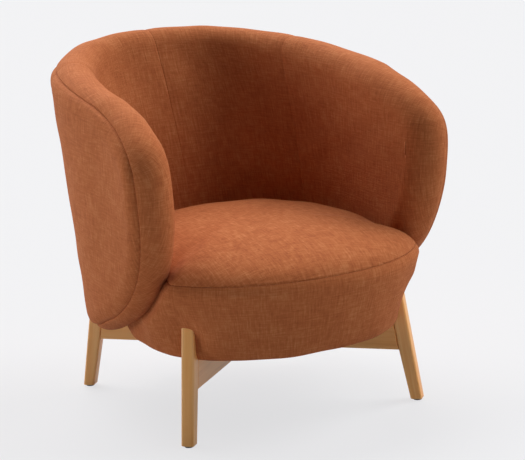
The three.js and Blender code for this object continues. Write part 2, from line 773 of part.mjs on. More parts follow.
// Bolts from the seat frame out into the wall's lower arch
const shellBoltHeight = frameTop - shellBoltDrop;
const shellBoltTurns = [-sideSeamReach - boltPastSeam, -innerBoltReach,
  innerBoltReach, sideSeamReach + boltPastSeam].map((reach) => reach / bendRadius);
function shellBoltAt(turn, spare, access) {
  const edge = seatPlan(turn, undersideHeight).setZ(shellBoltHeight);
  const centre = centreOf(shellBoltHeight);
  const way = edge.clone().sub(centre).normalize();
  const start = centre.clone().lerp(edge, frameInnerShare)
    .addScaledVector(way, headRecess - boltHeadHeight);
  const arch = wallMiddle(turn, shellBoltHeight).sub(start).dot(way);
  return aimed(boltProfile(arch + shellBoltBite, spare, access), start, way);
}
const shellBoltHoles = shellBoltTurns.map((turn) => shellBoltAt(turn, clearance, boltHeadRadius));

const seatClear = seatEnvelope(clearance);
const wallClear = wallEnvelope(clearance);

const group = new THREE.Group();
function add(name, geometry, material) {
  const flat = geometry.index ? geometry.toNonIndexed() : geometry;
  flat.computeVertexNormals();
  const mesh = new THREE.Mesh(flat, material.clone());
  mesh.name = name;
  group.add(mesh);
}

// Legs, rails and what joins them
corners.forEach(({ name, way }) => {
  const holes = dowelHeights.map((z) => dowelAt(way, z, clearance));
  const leg = cut(inPlane(legShape(), way, legThickness, legEdgeRound),
    seatClear, wallClear, glideAt(way, clearance), ...holes);
  add('leg_' + name, leg, oak);
  dowelHeights.forEach((z, i) => add('dowel_' + name + '_' + (i ? 'upper' : 'lower'),
    dowelAt(way, z, 0), frameWood));
  add('glide_' + name, glideAt(way, 0), nylon);
  add('base_bolt_' + name, baseBoltAt(way, 0, 0), steel);
  add('tee_nut_' + name, teeNutAt(way), steel);
});

const baseBoltHoles = corners.map(({ way }) => baseBoltAt(way, clearance, counterboreDepth));
const dowelHoles = corners.flatMap(({ way }) => dowelHeights.map((z) => dowelAt(way, z, clearance)));
[['cross_rail_upper', 0, 1], ['cross_rail_lower', 1, 0]].forEach(([name, own, other]) => {
  const notch = own ? [railMiddle - clearance / 2, cutSpan] : [-cutSpan, railMiddle + clearance / 2];
  const rail = cut(inPlane(railShape(), corners[own].way, railThickness, railEdgeRound),
    wallClear, lapNotch(corners[other].way, ...notch), ...baseBoltHoles, ...dowelHoles);
  add(name, rail, oak);
});

// Seat
const barrelHoles = corners.map(({ way }) => barrelHoleAt(way));
add('seat_board', cut(ringBody(boardRings(0)), ...barrelHoles), frameWood);
add('dust_cover', cut(prism(undersideShare * flapShare - shareOf(bentClearance),
  boardFoot - clearance - dustCoverThickness, boardFoot - clearance), ...baseBoltHoles), lining);
[['seat_rail_left', leftSide], ['seat_rail_right', rightSide]].forEach(([name, side]) => {
  const rail = keep(seatFrame, besideFrame(side, clearance));
  add(name, cut(rail, ...shellBoltHoles), frameWood);
});
add('seat_rail_front', keep(endRails, frontHalf), frameWood);
add('seat_rail_back', cut(endRails, frontHalf, ...shellBoltHoles), frameWood);
spread(-webSide, webSide, frontToBackWebs).forEach((x, i) => {
  const [front, back] = crossings(webRing, 'x', Math.abs(x) + webbingWidth / 2);
  add('webbing_long_' + (i + 1), strap(back - front, sideToSideWebs, i)
    .rotateZ(Math.PI / 2).translate(x, (front + back) / 2, webLevel), webbing);
});
spread(webFront, webBack, sideToSideWebs).forEach((y, i) => {
  const halfLength = Math.min(...[-webbingWidth, webbingWidth]
    .map((across) => crossings(webRing, 'y', y + across / 2)[1]));
  add('webbing_cross_' + (i + 1), strap(2 * halfLength, frontToBackWebs, i + 1)
    .translate(0, y, webLevel), webbing);
});
add('seat_foam', cut(seatFoam, ...shellBoltHoles), foam);
add('seat_border_cover', cut(seatBorderCover, ...baseBoltHoles, ...shellBoltHoles), fabric);
add('seat_top_cover', seatTopCover, fabric);

// Wall
add('frame_arch_top', topArch, frameWood);
add('frame_arch_foot', cut(footArch, ...shellBoltHoles), frameWood);
postShares.forEach((share, i) => {
  add('frame_post_left_' + (i + 1), framePost(share), frameWood);
  add('frame_post_right_' + (i + 1), framePost(-share), frameWood);
});
const drilledFoam = cut(wallFoam, ...shellBoltHoles);
add('foam_back', between(drilledFoam, sideSeamReach), foam);
add('foam_arm_left', arm(drilledFoam, sideSeamReach, leftSide), foam);
add('foam_arm_right', arm(drilledFoam, sideSeamReach, rightSide), foam);
const drilledCover = cut(insideCover, ...shellBoltHoles);
const backCover = between(drilledCover, sideSeamReach);
add('cover_inside_back_left', halfOf(backCover, leftSide), fabric);
add('cover_inside_back_right', halfOf(backCover, rightSide), fabric);
add('cover_inside_arm_left', arm(drilledCover, sideSeamReach, leftSide), fabric);
add('cover_inside_arm_right', arm(drilledCover, sideSeamReach, rightSide), fabric);
add('cover_outside_back', between(outsidePanel, outsideSeamReach), fabric);
add('cover_outside_arm_left', arm(outsidePanel, outsideSeamReach, leftSide), fabric);
add('cover_outside_arm_right', arm(outsidePanel, outsideSeamReach, rightSide), fabric);
shellBoltTurns.forEach((turn, i) => add('shell_bolt_' + (i + 1), shellBoltAt(turn, 0, 0), steel));

export default group;
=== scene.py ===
import json
import math

import bpy
import numpy as np
from mathutils import Matrix, Vector


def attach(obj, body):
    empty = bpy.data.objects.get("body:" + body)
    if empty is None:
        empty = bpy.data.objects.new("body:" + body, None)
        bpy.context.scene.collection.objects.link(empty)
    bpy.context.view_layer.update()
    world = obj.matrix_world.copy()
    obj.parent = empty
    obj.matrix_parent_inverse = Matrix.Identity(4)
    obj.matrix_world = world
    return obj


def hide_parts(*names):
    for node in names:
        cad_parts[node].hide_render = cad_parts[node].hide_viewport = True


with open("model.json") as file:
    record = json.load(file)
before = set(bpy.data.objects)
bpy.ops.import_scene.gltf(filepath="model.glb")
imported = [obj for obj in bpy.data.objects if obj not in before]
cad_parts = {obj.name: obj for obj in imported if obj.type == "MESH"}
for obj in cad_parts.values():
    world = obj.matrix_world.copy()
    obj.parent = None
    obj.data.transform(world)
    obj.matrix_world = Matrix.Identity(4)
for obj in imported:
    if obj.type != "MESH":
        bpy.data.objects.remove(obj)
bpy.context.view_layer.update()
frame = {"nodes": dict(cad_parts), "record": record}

# An upholstered tub chair in rust cloth on an oak base. Lengths are in metres and +Z is up.
# The floor is z = 0, the chair faces -Y, and left is the sitter's left hand, +X.
body = "root"


# Shader maths: a socket with operators, so that a * 0.5 + b adds its own Math nodes
class Field:
    def __init__(self, recipe, socket):
        self.recipe = recipe
        self.socket = socket

    def maths(self, operation, *values):
        return self.recipe.node("ShaderNodeMath", {"operation": operation}, *values)

    def __add__(self, other):
        return self.maths("ADD", self, other)

    def __radd__(self, other):
        return self.maths("ADD", other, self)

    def __mul__(self, other):
        return self.maths("MULTIPLY", self, other)


# One material's nodes. node() makes any node from its type, its settings, and the values or
# links of its sockets in order or by name. It gives the first output unless told which.
class Recipe:
    def __init__(self, name):
        self.material = bpy.data.materials.new(name)
        self.material.use_nodes = True
        self.tree = self.material.node_tree
        self.tree.nodes.clear()

    def node(self, kind, settings=None, *values, out=0, **named):
        made = self.tree.nodes.new(kind)
        for key, value in (settings or {}).items():
            if key == "stops":
                ramp = made.color_ramp.elements
                while len(ramp) < len(value):
                    ramp.new(1)
                for stop, (place, colour) in zip(ramp, value):
                    stop.position = place
                    stop.color = colour
            else:
                setattr(made, key, value)
        sockets = [socket for socket in made.inputs if socket.enabled]
        for socket, value in zip(sockets, values):
            self.feed(socket, value)
        for key, value in named.items():
            self.feed(made.inputs[key.replace("_", " ")], value)
        outputs = [socket for socket in made.outputs if socket.enabled]
        if not outputs:
            return None
        return Field(self, outputs[out] if isinstance(out, int) else made.outputs[out])

    def feed(self, socket, value):
        if isinstance(value, Field):
            self.tree.links.new(value.socket, socket)
        else:
            socket.default_value = value

    def tint(self, factor, first, second):
        return self.node("ShaderNodeMix", {"data_type": "RGBA"}, factor, first, second)

    def noise(self, vector, scale, detail=2.0, roughness=0.5, distortion=0.0):
        return self.node("ShaderNodeTexNoise", None, Vector=vector, Scale=scale, Detail=detail,
                         Roughness=roughness, Distortion=distortion)

    def stretched(self, vector, scale, turn=(0, 0, 0)):
        return self.node("ShaderNodeMapping", None, vector, (0, 0, 0), turn, scale)

    def spread(self, value, low, high, start=0.0, end=1.0):
        return self.node("ShaderNodeMapRange", {"clamp": True}, value, low, high, start, end)

    def bump(self, height, distance, strength=1.0):
        return self.node("ShaderNodeBump", None, Strength=strength, Distance=distance, Height=height)

    def finish(self, **sockets):
        shader = self.node("ShaderNodeBsdfPrincipled", None, **sockets)
        self.node("ShaderNodeOutputMaterial", None, shader)
        return self.material


def hexColour(text):
    parts = [int(text[i:i + 2], 16) / 255 for i in (0, 2, 4)]
    return tuple(p / 12.92 if p < 0.04045 else ((p + 0.055) / 1.055) ** 2.4 for p in parts) + (1.0,)


# The upholstery cloth: a rust chenille with slubby warp and weft and a brushed nap
cloth = {
    "deep": hexColour("8c4827"),
    "mid": hexColour("b4673c"),
    "light": hexColour("cf8a5b"),
    "slubAcross": 300,       # thick places in the yarns, for each metre across them
    "slubAlong": 26,         # and along them
    "yarnAcross": 900,       # the yarns themselves
    "yarnAlong": 120,
    "napScale": 30,
    "cloudScale": 7,
    "warpShare": 0.62,       # how much each pattern shades the cloth
    "weftShare": 0.5,
    "yarnShare": 0.22,
    "cloudShare": 0.22,
    "contrast": 0.42,
    "roughness": 0.9,
    "sheen": 0.1,
    "sheenTint": hexColour("e3a680"),
    "reliefDepth": 0.0011,
}


def clothMaterial(name, nap):
    r = Recipe(name)
    flat = r.node("ShaderNodeUVMap", {"uv_map": "cloth"})
    across, along = cloth["slubAcross"], cloth["slubAlong"]
    warp = r.noise(r.stretched(flat, (across, along, 1)), 1.0, 2.0, 0.6)
    weft = r.noise(r.stretched(flat, (along, across, 1)), 1.0, 2.0, 0.6)
    across, along = cloth["yarnAcross"], cloth["yarnAlong"]
    yarn = r.noise(r.stretched(flat, (across, along, 1)), 1.0, 1.0) + r.noise(
        r.stretched(flat, (along, across, 1)), 1.0, 1.0)
    brushed = r.noise(flat, cloth["napScale"], 4.0, 0.62, 2.2)
    cloud = r.noise(flat, cloth["cloudScale"], 2.0, 0.5, 0.6)
    shade = (warp * cloth["warpShare"] + weft * cloth["weftShare"] + yarn * cloth["yarnShare"]
             + brushed * nap + cloud * cloth["cloudShare"])
    middle = (cloth["warpShare"] + cloth["weftShare"] + 2 * cloth["yarnShare"]
              + nap + cloth["cloudShare"]) / 2
    level = r.spread(shade, middle - cloth["contrast"], middle + cloth["contrast"])
    colour = r.node("ShaderNodeValToRGB", {"stops": [
        (0.0, cloth["deep"]), (0.5, cloth["mid"]), (1.0, cloth["light"])]}, level)
    height = warp + weft + yarn * 0.7 + brushed * 0.5
    return r.finish(Base_Color=colour, Roughness=cloth["roughness"], Sheen_Weight=cloth["sheen"],
                    Sheen_Roughness=0.4, Sheen_Tint=cloth["sheenTint"], Specular_IOR_Level=0.12,
                    Normal=r.bump(height, cloth["reliefDepth"], 0.5))


# Wood: long grain with growth lines, drawn out along one way
wood = {
    "poreStretch": (9, 9, 3.2),  # of the pores and of the broad bands, over the lines
    "broadStretch": (0.22, 0.22, 0.3),
    "linesShare": 0.7,           # how much each pattern shades the wood
    "broadShare": 0.5,
    "poresShare": 0.16,
    "darkFrom": 0.5,
    "paleFrom": 0.88,
    "reliefDepth": 0.0004,
}


def woodMaterial(name, colours, way, across=42, along=2.2, roughness=0.42, coat=0.25):
    r = Recipe(name)
    place = r.node("ShaderNodeTexCoord", None, out="Object")
    turn = Vector(way).rotation_difference(Vector((0, 0, 1))).to_euler()
    grainPlace = r.stretched(r.stretched(place, (1, 1, 1), tuple(turn)), (across, across, along))
    lines = r.noise(grainPlace, 1.0, 5.0, 0.62, 0.5)
    pores = r.noise(r.stretched(grainPlace, wood["poreStretch"]), 1.0, 2.0, 0.5)
    broad = r.noise(r.stretched(grainPlace, wood["broadStretch"]), 1.0, 2.0, 0.5)
    shade = lines * wood["linesShare"] + broad * wood["broadShare"] + pores * wood["poresShare"]
    level = r.spread(shade, wood["darkFrom"], wood["paleFrom"])
    colour = r.node("ShaderNodeValToRGB", {"stops": [
        (0.0, colours[0]), (0.45, colours[1]), (1.0, colours[2])]}, level)
    height = pores * 0.6 + lines * 0.4
    return r.finish(Base_Color=colour,
                    Roughness=r.spread(lines, 0.3, 0.7, roughness - 0.05, roughness + 0.08),
                    Coat_Weight=coat, Coat_Roughness=0.3,
                    Normal=r.bump(height, wood["reliefDepth"], 0.35))


plainRelief = 0.0002


# Fine grains of two tints
def plainMaterial(name, dark, light, scale, roughness, metallic=0.0):
    r = Recipe(name)
    place = r.node("ShaderNodeTexCoord", None, out="Object")
    grains = r.noise(place, scale, 4.0, 0.6)
    colour = r.tint(r.spread(grains, 0.3, 0.7), dark, light)
    return r.finish(Base_Color=colour, Metallic=metallic,
                    Roughness=r.spread(grains, 0.3, 0.7, roughness - 0.06, roughness + 0.06),
                    Normal=r.bump(grains, plainRelief, 0.5))


oakColours = (hexColour("da8c3e"), hexColour("f2a854"), hexColour("fcc27a"))
beechColours = (hexColour("c3a06b"), hexColour("d8bb88"), hexColour("e6cfa2"))


# Surfaces
def signedPower(value, power):
    return np.sign(value) * np.abs(value) ** power


def mix(a, b, share):
    return a + (b - a) * share


def smooth(share):
    held = np.clip(share, 0, 1)
    return held * held * (3 - 2 * held)


def unit(vectors):
    return vectors / np.maximum(np.linalg.norm(vectors, axis=-1, keepdims=True), 1e-12)


weld = 1e-6  # corners nearer than this are one


# A mesh from one grid of places, welded where its rows or columns meet. The grid laid flat is
# the cloth's pattern, and the faces look away from the grid's inner places.
def makePiece(name, place, flat, inner, material, thickness, replaced):
    rows, columns = place.shape[:2]
    index = np.arange(rows * columns).reshape(rows, columns)
    quads = np.stack([index[:-1, :-1], index[:-1, 1:], index[1:, 1:], index[1:, :-1]], -1).reshape(-1, 4)
    points = place.reshape(-1, 3)
    corner = points[quads]
    normal = np.cross(corner[:, 2] - corner[:, 0], corner[:, 3] - corner[:, 1])
    away = (points - np.broadcast_to(inner, place.shape).reshape(-1, 3))[quads].mean(1)
    if (normal * away).sum() < 0:
        quads = quads[:, ::-1]
    keys, kept, merged = np.unique(np.round(points / weld).astype(np.int64), axis=0,
                                   return_index=True, return_inverse=True)
    corners = merged.reshape(-1)[quads]
    same = corners == np.roll(corners, -1, axis=1)
    whole = same.sum(1) == 0
    thin = same.sum(1) == 1
    threes = corners[thin][~same[thin]].reshape(-1, 3)
    mesh = bpy.data.meshes.new(name)
    mesh.from_pydata(points[kept].tolist(), [], corners[whole].tolist() + threes.tolist())
    before = np.concatenate([quads[whole].ravel(), quads[thin][~same[thin]]])
    pattern = mesh.uv_layers.new(name="cloth")
    pattern.data.foreach_set("uv", flat.reshape(-1, 2)[before].astype(np.float32).ravel())
    mesh.polygons.foreach_set("use_smooth", np.ones(len(mesh.polygons), bool))
    mesh.materials.append(material)
    mesh.update()
    piece = bpy.data.objects.new(name, mesh)
    bpy.context.scene.collection.objects.link(piece)
    if thickness:
        shell = piece.modifiers.new("cloth_thickness", "SOLIDIFY")
        shell.thickness = thickness
        shell.offset = -1
    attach(piece, body)
    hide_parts(*replaced)


# The padded wall
wall = {
    "topHeight": 0.7369,
    "waistHeight": 0.5355,
    "footHeight": 0.1428,
    "centreY": -0.0942,
    "waistHalfWidth": 0.3065,
    "backReach": 0.4163,
    "slopeSpan": 0.100,          # the flares, leans and tapers are for each of these
    "sideFlare": 0.0009189,
    "sideFlareBend": -0.0007127,
    "backLean": 0.04274,
    "backLeanBend": 0.003532,
    "armTaper": -0.002645,
    "armTaperLean": -0.001521,
    "planSidePower": 0.7804,
    "planBackPower": 0.8768,
    "bendRadius": 0.3803,
    "reach": 0.8199,
    "topSidePower": 1.943,
    "topPower": 3.011,
    "footSidePower": 3.247,
    "footPower": 2.151,
    "half": 0.04783,
    "edgeSoft": 0.016,           # the edge's direction is taken over this length
}
# The wall as the solids have it, which is thinner and wider. The seat is cut to it, so its sides
# run into the fuller padding.
solidWall = {
    "waistHeight": 0.5351,
    "footHeight": 0.143,
    "centreY": wall["centreY"],
    "waistHalfWidth": 0.3319,
    "backReach": 0.425,
    "slopeSpan": wall["slopeSpan"],
    "sideFlare": 0.0082,
    "sideFlareBend": 0.001139,
    "backLean": 0.0302,
    "backLeanBend": 0.001106,
    "armTaper": 0.00431,
    "armTaperLean": -0.002325,
    "planSidePower": 0.958,
    "planBackPower": 0.981,
    "bendRadius": wall["bendRadius"],
    "reach": 0.8301,
    "footSidePower": 3.604,
    "footPower": 2.121,
    "half": 0.0342,
}
covers = {
    "thickness": 0.003,
    "fill": 0.95,
    "grooveStart": 0.80,         # radians of the rim between the outside face and the groove
    "grooveDepth": 0.0037,       # from the rim inwards and down
    "grooveGap": 0.0004,
    "rollRadius": 0.0035,        # of the inside cover's edge, where it turns into the groove
    "rollTurn": 1.9,
    "rollRows": 8,
    "seamDepth": 0.0008,         # how far the cloth dips into a seam
    "seamSoft": 0.0013,
    "pullDepth": 0.0010,         # and how far it is drawn in beside one
    "pullSoft": 0.010,
    "sideSeamReach": 0.379,      # from the centre seam, along the wall
    "panelCrown": 0.004,         # how far the outside panels swell past the wall's face
    "panelCrownReach": 0.030,
    "panelCrownEase": 1.1,
    "panelCrownPower": 0.8,
    "panelRows": 20,
    "columnStep": 0.006,
    "edgeSteps": 8001,           # fine steps that the wall's edge is measured in
    "seamColumns": np.array([0.0, 0.0005, 0.0011, 0.0018, 0.0028, 0.0042]),
    "seamClear": 0.002,          # between those columns and the even ones
    "rimRows": 26,
    "faceRows": 84,
    "fadeIn": 0.012,             # the ripples die out over this length at the groove
    "outsideRipple": 0.4,        # the outside's ripples are taken from this much farther along
    "outsidePattern": 2.0,       # and its cloth pattern too
}
# Slight unevenness of the padding. Its waves are in radians for each metre along and up the wall.
ripples = {
    "height": 0.0006,
    "broad": (31, 23),
    "broadPhase": 1.3,
    "sway": (2.1, 19),           # how far the broad waves swing, and the swing's own waves up the wall
    "slant": (57, 41),
    "slantPhase": 0.7,
    "slantShare": 0.6,
    "steep": (38, 73),
    "steepShare": 0.5,
}
probe = 0.0005                   # a small length or lap to take a slope over


# The wall's middle. In plan the back is half width times a power of the sine and reach times a
# power of the cosine of the turn from the back's centre, and the arms run straight ahead of it,
# drawn in by the square of the length. Width and reach are quadratic in the height over the waist.
def wallMiddle(turn, z, shape=wall):
    lift = (z - shape["waistHeight"]) / shape["slopeSpan"]
    halfWidth = shape["waistHalfWidth"] + shape["sideFlare"] * lift + shape["sideFlareBend"] * lift ** 2
    behind = shape["backReach"] + shape["backLean"] * lift + shape["backLeanBend"] * lift ** 2
    ahead = np.maximum(np.abs(turn) - math.pi / 2, 0) * shape["bendRadius"]
    drawnIn = (shape["armTaper"] + shape["armTaperLean"] * lift) * (ahead / shape["slopeSpan"]) ** 2
    side = np.where(ahead > 0, np.sign(turn), np.sin(turn))
    depth = np.where(ahead > 0, 0, np.cos(turn))
    x = halfWidth * signedPower(side, shape["planSidePower"]) - np.sign(turn) * drawnIn
    y = shape["centreY"] + behind * signedPower(depth, shape["planBackPower"]) - ahead
    return np.stack(np.broadcast_arrays(x, y, z), -1)


# Square to the middle surface, away from the sitter
def wallOutward(along, z, shape=wall):
    bend = shape["bendRadius"]
    across = wallMiddle((along + probe) / bend, z, shape) - wallMiddle((along - probe) / bend, z, shape)
    upward = wallMiddle(along / bend, z + probe, shape) - wallMiddle(along / bend, z - probe, shape)
    return unit(np.cross(upward, across))


# The unrolled wall's edge: its reach is a power of the cosine of the lap and its height a power
# of the sine, other powers over the waist than under it. Lap 0 is the left arm's front, and a
# quarter turn is the top or the foot of the back.
def wallEdge(lap):
    over = np.sin(lap) >= 0
    rise = np.where(over, wall["topHeight"] - wall["waistHeight"], wall["waistHeight"] - wall["footHeight"])
    sidePower = 2 / np.where(over, wall["topSidePower"], wall["footSidePower"])
    edgePower = 2 / np.where(over, wall["topPower"], wall["footPower"])
    return np.stack([wall["reach"] * signedPower(np.cos(lap), sidePower),
                     wall["waistHeight"] + rise * signedPower(np.sin(lap), edgePower)], -1)


# The edge moved inwards, square to its direction over a short length
def insetEdge(lap, inset):
    speed = np.linalg.norm(wallEdge(lap + probe) - wallEdge(lap - probe), axis=-1) / (2 * probe)
    step = wall["edgeSoft"] / speed
    way = unit(wallEdge(lap + step) - wallEdge(lap - step))
    inward = np.stack([-way[..., 1], way[..., 0]], -1)
    return wallEdge(lap) + inward * inset[..., None]


def lapOf(share, sidePower):
    return np.arccos(np.clip(signedPower(share, sidePower / 2), -1, 1))


# Columns of a wall piece, as shares of the wall's reach: at even distances along its edge, and
# closer beside its seams. Each seam is (share, which side of it the piece lies on).
def wallColumns(start, end, seams):
    share = np.sin(np.linspace(-math.pi / 2, math.pi / 2, covers["edgeSteps"]))
    edges = wallEdge(lapOf(share, wall["topSidePower"])), wallEdge(-lapOf(share, wall["footSidePower"]))
    lengths = [np.linalg.norm(np.diff(edge, axis=0), axis=1) for edge in edges]
    trail = np.concatenate([[0], np.cumsum(sum(lengths) / 2)])
    low, high = np.interp([start, end], share, trail)
    even = np.interp(np.linspace(low, high, int((high - low) / covers["columnStep"]) + 2), trail, share)
    distances = covers["seamColumns"]
    near = [seam + side * distances / wall["reach"] for seam, side in seams]
    clear = [np.abs(even - seam) * wall["reach"] > distances[-1] + covers["seamClear"]
             for seam, side in seams]
    return np.unique(np.concatenate([even[np.logical_and.reduce(clear)], *near]))


# How far the cloth dips at a distance from a seam
def seamDip(distance):
    return (covers["seamDepth"] * np.exp(-distance / covers["seamSoft"])
            + covers["pullDepth"] * np.exp(-(distance / covers["pullSoft"]) ** 2))


# Slow waves over the laid out cloth
def ripple(x, z):
    along, up = ripples["broad"]
    sway, swayUp = ripples["sway"]
    broad = np.sin(along * x + sway * np.sin(swayUp * z)) * np.cos(up * z + ripples["broadPhase"])
    along, up = ripples["slant"]
    slant = np.sin(along * x + up * z + ripples["slantPhase"])
    along, up = ripples["steep"]
    steep = np.cos(up * z - along * x)
    return ripples["height"] * (broad + ripples["slantShare"] * slant + ripples["steepShare"] * steep)


# A covering layer, in columns from the seam over the rim, down the face and round the foot. Its
# profile is (inset, outward) from the seam to the face, and lift(x, z) moves the cloth outwards.
# The side is 1 for the wall's inside and -1 for its outside.
def wallSheet(shares, profile, side, seams, lift):
    profile = np.array(profile)
    tangent = unit(np.gradient(profile, axis=0))
    run = np.concatenate([[0], np.cumsum(np.linalg.norm(np.diff(profile, axis=0), axis=1))])
    trail = profile[-1, 0] - (run[-1] - run)
    columns = (len(profile), len(shares))
    dip = sum(seamDip(np.abs(shares - seam) * wall["reach"]) for seam, way in seams)
    fade = smooth(run / covers["fadeIn"])[:, None]
    spots, flats, outs = [], [], []
    for lap in (lapOf(shares, wall["topSidePower"]), -lapOf(shares, wall["footSidePower"])):
        flat = insetEdge(lap[None], np.broadcast_to(trail[:, None], columns))
        push = lift(flat[..., 0], flat[..., 1]) * fade - dip
        inset = profile[:, :1] + side * tangent[:, 1:] * push
        spots.append(insetEdge(lap[None], inset))
        outs.append(profile[:, 1:] - side * tangent[:, :1] * push)
        flats.append(flat)
    share = np.linspace(0, 1, covers["faceRows"] + 2)[1:-1][:, None]
    faceFlat = mix(flats[0][-1][None], flats[1][-1][None], share[..., None])
    facePush = lift(faceFlat[..., 0], faceFlat[..., 1]) - dip
    faceOut = profile[-1, 1] - side * facePush
    spot = np.concatenate([spots[0], faceFlat, spots[1][::-1]])
    flat = np.concatenate([flats[0], faceFlat, flats[1][::-1]])
    out = np.concatenate([outs[0], faceOut, outs[1][::-1]])
    x, z = spot[..., 0], spot[..., 1]
    middle = wallMiddle(x / wall["bendRadius"], z)
    return middle + wallOutward(x, z) * out[..., None], flat, middle


# The rim from the groove to the inside face: a small roll into the seam, then the half round
def rimProfile():
    half, start, roll = wall["half"], covers["grooveStart"], covers["rollRadius"]
    inset, outward = half - half * math.sin(start), half * math.cos(start)
    centre = (inset + roll * math.sin(start), outward - roll * math.cos(start))
    turned = start - np.linspace(covers["rollTurn"], 0, covers["rollRows"])[:-1]
    profile = [(centre[0] - roll * math.sin(turn), centre[1] + roll * math.cos(turn)) for turn in turned]
    swings = np.linspace(start, math.pi, covers["rimRows"])
    return profile + [(half - half * math.sin(swing), half * math.cos(swing)) for swing in swings]


# An outside panel from the groove to its full swell: a quarter of a round, drawn out flat
def panelProfile():
    half, groove = wall["half"], covers["grooveStart"]
    start = half - half * math.sin(groove) + covers["grooveDepth"] + covers["grooveGap"]
    low = half * math.cos(groove) - covers["grooveDepth"]
    rise = half + covers["panelCrown"] - low
    swings = np.linspace(0, math.pi / 2, covers["panelRows"])
    return [(start + covers["panelCrownReach"] * (1 - math.cos(swing)) ** covers["panelCrownEase"],
             low + rise * math.sin(swing) ** covers["panelCrownPower"]) for swing in swings]


clothWall = clothMaterial("rust_chenille", 0.30)
clothSeat = clothMaterial("rust_chenille_brushed", 0.62)
sideShare = covers["sideSeamReach"] / wall["reach"]


def insideCover(name, low, high, seams, replaced):
    columns = wallColumns(low, high, seams)
    place, flat, middle = wallSheet(columns, rimProfile(), 1, seams, ripple)
    makePiece(name, place, flat, middle, clothWall, covers["thickness"],
              replaced)


def outsidePanel(name, low, high, seams, replaced):
    columns = wallColumns(low, high, seams)
    place, flat, middle = wallSheet(columns, panelProfile(), -1, seams,
                                    lambda x, z: ripple(x + covers["outsideRipple"], z))
    makePiece(name, place, flat + covers["outsidePattern"], middle, clothWall,
              covers["thickness"], replaced)


insideCover("inside_back_left", 0.0, sideShare, [(0.0, 1), (sideShare, -1)],
            ["cover_inside_back_left", "foam_back"])
insideCover("inside_back_right", -sideShare, 0.0, [(-sideShare, 1), (0.0, -1)], ["cover_inside_back_right"])
insideCover("inside_arm_left", sideShare, 1.0, [(sideShare, 1)],
            ["cover_inside_arm_left", "foam_arm_left"])
insideCover("inside_arm_right", -1.0, -sideShare, [(-sideShare, -1)],
            ["cover_inside_arm_right", "foam_arm_right"])
print("inside covers made")
outsidePanel("outside_back", -sideShare, sideShare, [(-sideShare, 1), (sideShare, -1)],
             ["cover_outside_back"])
outsidePanel("outside_arm_left", sideShare, 1.0, [(sideShare, 1)], ["cover_outside_arm_left"])
outsidePanel("outside_arm_right", -1.0, -sideShare, [(-sideShare, -1)], ["cover_outside_arm_right"])
print("outside panels made")


# The frame in the wall, hidden: flat bars along the wall's middle
bars = {
    "archInset": 0.062,          # from the wall's edge to the arch's middle
    "archHalfWidth": 0.018,
    "halfThickness": 0.012,
    "archEnd": 0.42,             # radians of lap between an arch's end and the arm's front
    "postReach": (0.270, 0.560),  # from the back's centre along the wall
    "postHalfWidth": 0.020,
    "archSteps": 160,
    "postSteps": 30,
}
frameWood = woodMaterial("beech", beechColours, (1, 0, 0), 30, 3, 0.6, 0.0)


# A bar of four sides along a line of the unrolled wall, closed at both ends. It lies half its
# width to each side of the line and half its thickness to each side of the wall's middle.
def frameBar(name, line, halfWidth):
    way = unit(np.gradient(line, axis=0))
    beside = np.stack([way[:, 1], -way[:, 0]], -1)
    corners = np.array([(1, 1), (1, -1), (-1, -1), (-1, 1), (1, 1)])
    spot = line[:, None] + beside[:, None] * (corners[:, :1] * halfWidth)[None]
    x, z = spot[..., 0], spot[..., 1]
    across = (corners[:, 1] * bars["halfThickness"])[None, :, None]
    sides = wallMiddle(x / wall["bendRadius"], z) + wallOutward(x, z) * across
    core = sides[:, :4].mean(1, keepdims=True)
    ends = [np.broadcast_to(end, sides[:1].shape) for end in (core[:1], core[-1:])]
    place = np.concatenate([ends[0], sides, ends[1]])
    inner = np.concatenate([core[1:2], core, core[-2:-1]])
    makePiece(name, place, np.zeros(place.shape[:2] + (2,)), inner, frameWood, 0.0, [name])


# The line of an arch, from the left arm round to the right one: over the back or under it
def archLine(side):
    laps = np.linspace(bars["archEnd"], math.pi - bars["archEnd"], bars["archSteps"])
    return insetEdge(side * laps, np.full_like(laps, bars["archInset"]))


archTop, archFoot = archLine(1), archLine(-1)
frameBar("frame_arch_top", archTop, bars["archHalfWidth"])
frameBar("frame_arch_foot", archFoot, bars["archHalfWidth"])
for count, reach in enumerate(bars["postReach"], 1):
    low, high = (np.interp(reach, line[::-1, 0], line[::-1, 1]) for line in (archFoot, archTop))
    heights = np.linspace(low + bars["archHalfWidth"], high - bars["archHalfWidth"], bars["postSteps"])
    for sideName, side in (("left", 1), ("right", -1)):
        post = np.stack([np.full_like(heights, side * reach), heights], -1)
        frameBar("frame_post_%s_%d" % (sideName, count), post, bars["postHalfWidth"])
print("wall frame made")


